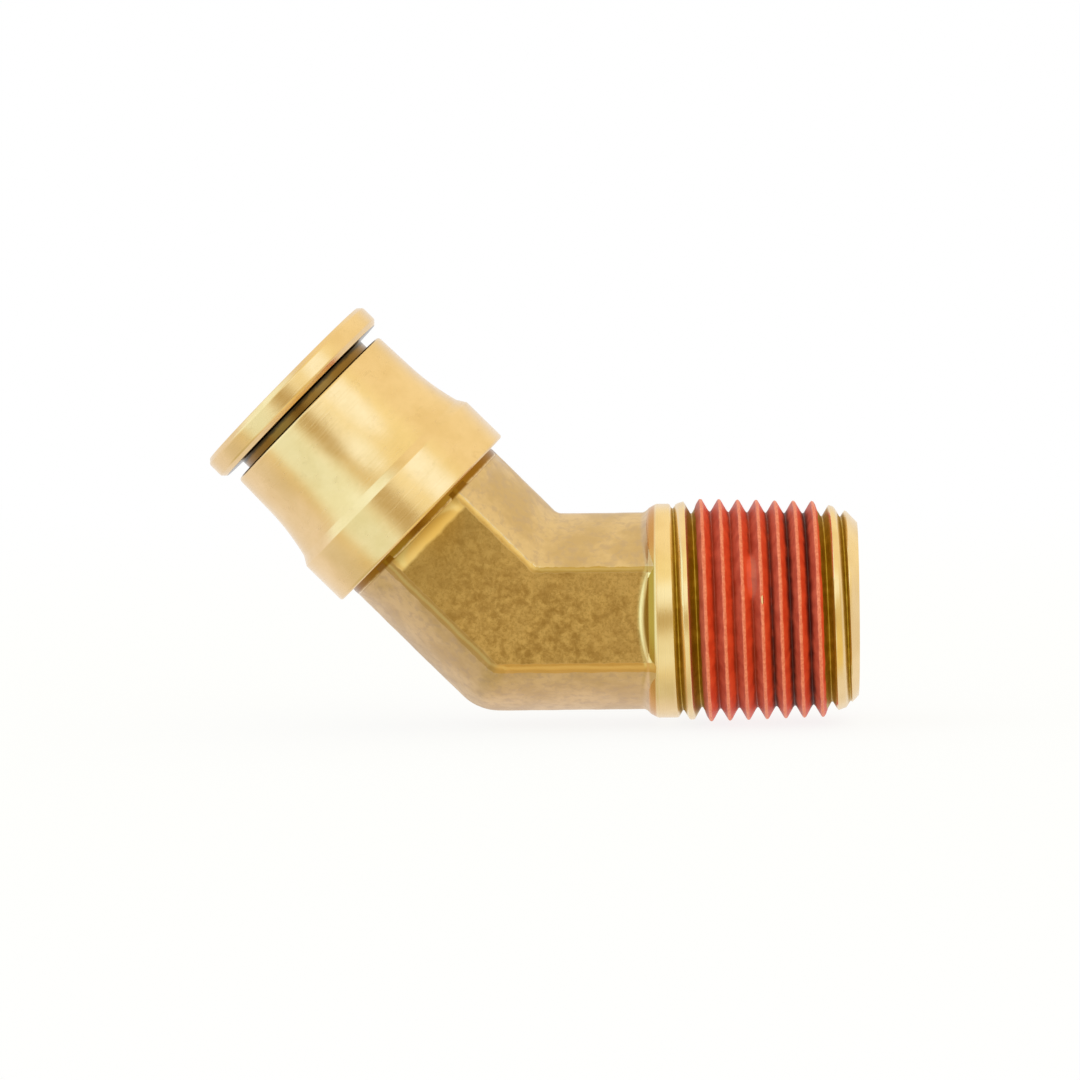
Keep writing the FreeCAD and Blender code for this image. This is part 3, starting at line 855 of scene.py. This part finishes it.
def sealant_material():
    """Dried red sealant: chalky coral on the crests, thick and dark in the grooves."""
    material, g = new_material("sealant")
    place = g.place()
    level = g.attribute("level")
    cloud = g.noise(place, 1.4, 4.0, 0.6)
    grain = g.noise(place, 0.25, 3.0, 0.6)
    uneven = g.linear(cloud, 0.25, 0.75, -0.10, 0.10)
    # the crest is half a pitch past the groove; the flank behind it faces the thread end and is
    # painted lighter as lit, the other flank darker as painted shade
    lit_flank = g.smooth(g.attribute("phase"), 0.44, 0.56)
    blotch = g.smooth(cloud, 0.3, 0.7)
    flank = g.mix(lit_flank, g.mix(blotch, *COAT_SHADED_FLANK), g.mix(blotch, *COAT_LIT_FLANK))
    # the coat is thicker towards the plain band and thin and dark towards the end
    along = g.math("ADD", g.along(place, THREAD_AXIS), g.share(uneven, 12.0))
    thick = g.smooth(along, 25.2, 23.6)
    groove = g.mix(thick, *COAT_GROOVE)
    depth = g.smooth(g.math("ADD", level, uneven), g.linear(thick, 0.0, 1.0, 0.58, 0.46), 0.14)
    body = g.mix(depth, flank, groove)
    top = g.smooth(g.math("ADD", level, g.share(uneven, 0.5)), 0.97, 1.06)
    colour = g.mix(top, body, g.mix(g.smooth(grain, 0.35, 0.7), *COAT_CHALK))
    rough = g.linear(cloud, 0.3, 0.7, 0.42, 0.56)
    fine = g.bump(g.noise(place, 0.08, 2.0), 0.005, g.bump(grain, 0.014))
    g.surface(colour, rough, fine, metallic=0.0)
    return material


def plain_material(name, dark, light, rough, metallic, depth=0.004, rings=False):
    """Finish of the small inner parts, with turned rings where asked."""
    material, g = new_material(name)
    place = g.place()
    cloud = g.noise(place, 0.6, 4.0, 0.6)
    height = g.noise(place, 0.1, 3.0, 0.6)
    if rings:
        height = g.math("ADD", height, g.noise_along(g.along(place, TUBE_AXIS), 0.15))
    colour = g.mix(g.smooth(cloud, 0.3, 0.7), dark, light)
    level = g.linear(cloud, 0.3, 0.7, rough - 0.05, rough + 0.06)
    g.surface(colour, level, g.bump(height, depth), metallic=metallic)
    return material


# ---- studio ----------------------------------------------------------------------------
WHITE = (1.0, 1.0, 1.0)
BACK_LIGHT, FRONT_LIGHT = (0.97, 0.97, 0.97), (0.88, 0.79, 0.47)
# soft panels round the object: direction, full and fading radius in degrees, colour
LIGHT_PANELS = (
    ((-0.05, -1.00, -0.11), 5.0, 19.0, (0.62, 0.52, 0.27)),
    ((0.35, 0.10, 0.93), 35.0, 65.0, (1.07, 1.01, 0.75)),
    ((0.26, -0.76, 0.60), 22.0, 41.0, (1.10, 1.08, 0.74)),
    ((0.47, -0.75, 0.47), 5.0, 21.0, (1.25, 1.45, 1.62)),
    ((-0.06, -0.94, 0.34), 5.0, 19.0, (1.18, 1.36, 1.42)),
    ((-0.35, 0.02, -0.94), 12.0, 34.0, (0.72, 0.70, 0.48)),
    ((0.00, -0.75, -0.66), 8.0, 30.0, (1.00, 1.06, 0.92)),
    ((-0.66, -0.72, -0.24), 12.0, 32.0, (1.10, 1.36, 1.38)),
    ((-0.50, -0.70, -0.50), 6.0, 22.0, (0.98, 1.18, 1.12)),
    ((-0.88, -0.32, 0.30), 26.0, 42.0, (1.12, 1.38, 1.45)),
    ((0.59, -0.54, -0.59), 12.0, 32.0, (0.98, 0.84, 0.36)),
)


def studio_world():
    """Soft studio light, white behind the object, warm in front, with tinted panels round it.

    The light is a field of directions. The camera itself sees plain white.
    """
    world = bpy.data.worlds.new("studio")
    bpy.context.scene.world = world
    world.use_nodes = True
    g = Graph(world.node_tree)
    ray = g.add("TexCoord", {}, out=COORD_GENERATED)
    forward = g.dot(ray, (0.0, -1.0, 0.0))
    light = g.mix(g.smooth(forward, -0.10, 0.45), BACK_LIGHT, FRONT_LIGHT)
    for direction, inner, outer, colour in LIGHT_PANELS:
        near = g.dot(ray, tuple(Vector(direction).normalized()))
        amount = g.smooth(near, math.cos(math.radians(outer)), math.cos(math.radians(inner)))
        light = g.mix(amount, light, colour)
    camera_ray = g.add("LightPath", {})
    light = g.mix(camera_ray, light, WHITE)
    g.output("World", g.add("Background", {"Color": light, "Strength": 1.0}))


def studio_floor():
    """Pale floor under the part that melts into the white background with distance."""
    size, gap = 4.0, 0.0002                   # metres
    height = cad_box[0].z - gap
    corners = [(-size, -size, height), (size, -size, height), (size, size, height),
               (-size, size, height)]
    mesh = bpy.data.meshes.new("floor")
    mesh.from_pydata(corners, [], [(0, 1, 2, 3)])
    floor = bpy.data.objects.new("floor", mesh)
    bpy.context.scene.collection.objects.link(floor)
    material, g = new_material("floor")
    place = g.place()
    away = g.add("VectorMath", {0: place}, out=VECTOR_VALUE, operation="LENGTH")
    far = g.smooth(away, 60.0, 420.0)
    soft = g.noise(place, 3.0, 3.0)
    tone = g.mix(soft, (0.93, 0.93, 0.93), (0.95, 0.95, 0.95))
    matte = g.add("BsdfDiffuse", {"Color": tone})
    glow = g.add("Emission", {"Color": (*WHITE, 1.0), "Strength": 1.0})
    amount = g.linear(far, 0.0, 1.0, 0.86, 1.0)
    g.output("Material", g.add("MixShader", {0: amount, 1: matte, 2: glow}))
    give(floor, material)
    floor.visible_glossy = False
    floor.visible_diffuse = False
    floor.visible_shadow = False


def studio_camera():
    """Camera on the front of the object, turned and raised by a few degrees."""
    azimuth, elevation, roll = (math.radians(v) for v in (1.7, 3.5, 0.7))
    distance = 0.6
    aim = Vector((-30.95, 0.0, 7.04)) * MM
    back = Vector((math.sin(azimuth) * math.cos(elevation),
                   -math.cos(azimuth) * math.cos(elevation), math.sin(elevation)))
    data = bpy.data.cameras.new("camera")
    data.sensor_width = 36.0
    data.lens = 204.7
    data.clip_start = 0.05
    data.clip_end = 20.0
    camera = bpy.data.objects.new("camera", data)
    bpy.context.scene.collection.objects.link(camera)
    turn = (-back).to_track_quat("-Z", "Y").to_matrix() @ Matrix.Rotation(-roll, 3, "Z")
    camera.matrix_world = Matrix.Translation(aim + back * distance) @ turn.to_4x4()
    bpy.context.scene.camera = camera


# ---- assembly --------------------------------------------------------------------------
elbow = forged_elbow()
give(elbow, forged_material())
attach(elbow, "fitting")
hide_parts("elbow_body")

shank = thread_shank()
give(shank, thread_material())
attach(shank, "fitting")
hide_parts("elbow_body")

boss = tube_boss()
give(boss, turned_material("boss_brass", BOSS_RING_SHADE))
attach(boss, "fitting")
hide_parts("elbow_body")

coat = sealant_coat()
give(coat, sealant_material())
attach(coat, "fitting")
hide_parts("thread_sealant")

housing = housing_shell()
give(housing, turned_material("turned_brass"))
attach(housing, "fitting")
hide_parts("collar_housing")

sleeve = collar_sleeve()
give(sleeve, turned_material("collar_brass", COLLAR_GRIME_AND_SHADE))
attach(sleeve, "collar")
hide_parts("release_collar")

give(nodes["guide_bush"], plain_material(
    "bush_brass", (0.62, 0.42, 0.17), (0.74, 0.52, 0.24), 0.30, 1.0, rings=True))
give(nodes["tube_support"], plain_material(
    "support_brass", (0.64, 0.43, 0.17), (0.78, 0.55, 0.26), 0.27, 1.0, rings=True))
give(nodes["grab_ring"], plain_material(
    "spring_steel", (0.46, 0.46, 0.45), (0.60, 0.60, 0.59), 0.26, 1.0, depth=0.003))
give(nodes["seal_spacer"], plain_material(
    "acetal", (0.72, 0.71, 0.66), (0.80, 0.79, 0.75), 0.42, 0.0))
give(nodes["tube_seal"], plain_material(
    "nitrile", (0.018, 0.018, 0.019), (0.040, 0.040, 0.042), 0.50, 0.0, depth=0.006))

studio_world()
studio_floor()
studio_camera()

view_settings = bpy.context.scene.view_settings
view_settings.view_transform = "Standard"
view_settings.look = "None"
